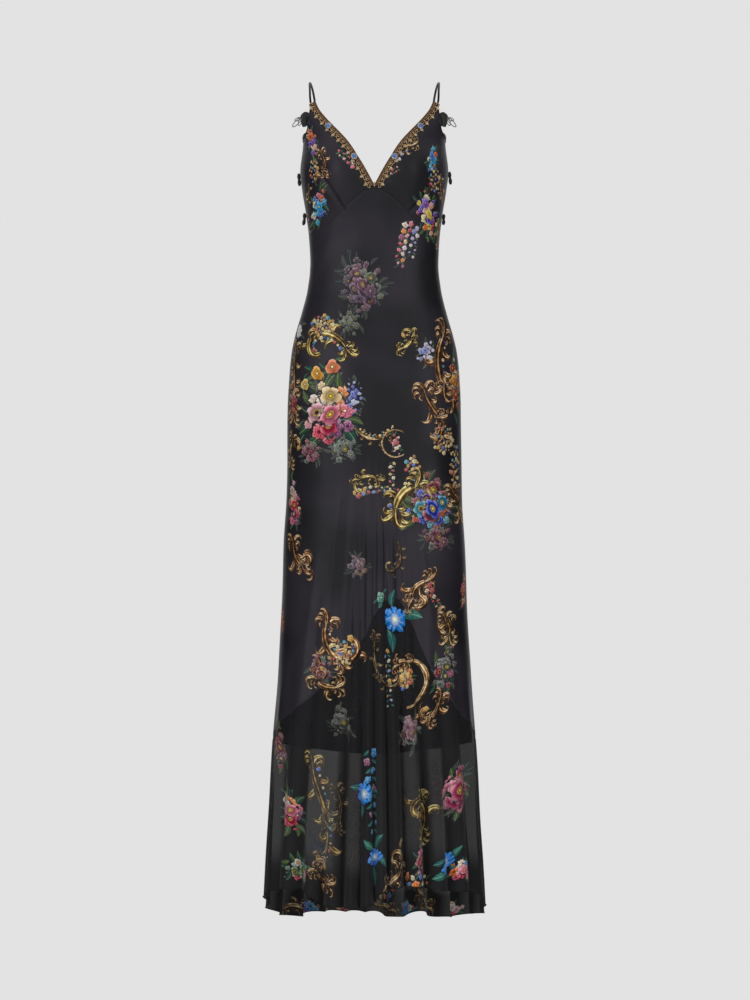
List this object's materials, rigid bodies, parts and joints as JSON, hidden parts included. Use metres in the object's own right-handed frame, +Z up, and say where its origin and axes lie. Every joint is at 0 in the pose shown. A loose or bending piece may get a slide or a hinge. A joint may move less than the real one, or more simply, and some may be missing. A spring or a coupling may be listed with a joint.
{
  "type": "slip dress",
  "caption": "Full-length slip dress with beaded V-neck cups, thin shoulder straps, a low back and a sheer flounce under a pointed seam.",
  "frame": {"origin": "midway between the tops of the two shoulder straps, where the dress hangs from the wearer's shoulders", "axes": "+Z up, -Y towards the dress's front, +X towards the wearer's left"},
  "size_m": [0.4186, 0.3525, 1.5782],
  "materials": {
    "satin": "black printed satin with a soft gloss",
    "chiffon": "sheer black printed chiffon, matt",
    "cording": "black satin rouleau cord",
    "beading": "gold thread and beads, glinting",
    "stone": "clear-coated blue stone in a silver ring"
  },
  "bodies": {
    "root": {"cup_left": "satin", "neck_trim_left": "beading", "stone_left_upper": "stone", "stone_left_lower": "stone", "strap_left": "cording", "cord_end_left_top": "cording", "cord_tail_left": "cording", "cup_right": "satin", "neck_trim_right": "beading", "stone_right_upper": "stone", "stone_right_lower": "stone", "strap_right": "cording", "cord_end_right_top": "cording", "cord_tail_right": "cording", "cord_end_left_upper": "cording", "cord_end_left_lower": "cording", "cord_end_right_upper": "cording", "cord_end_right_lower": "cording", "front_panel": "satin", "back_panel": "satin", "flounce_front": "chiffon", "flounce_back": "chiffon"}
  },
  "joints": []
}
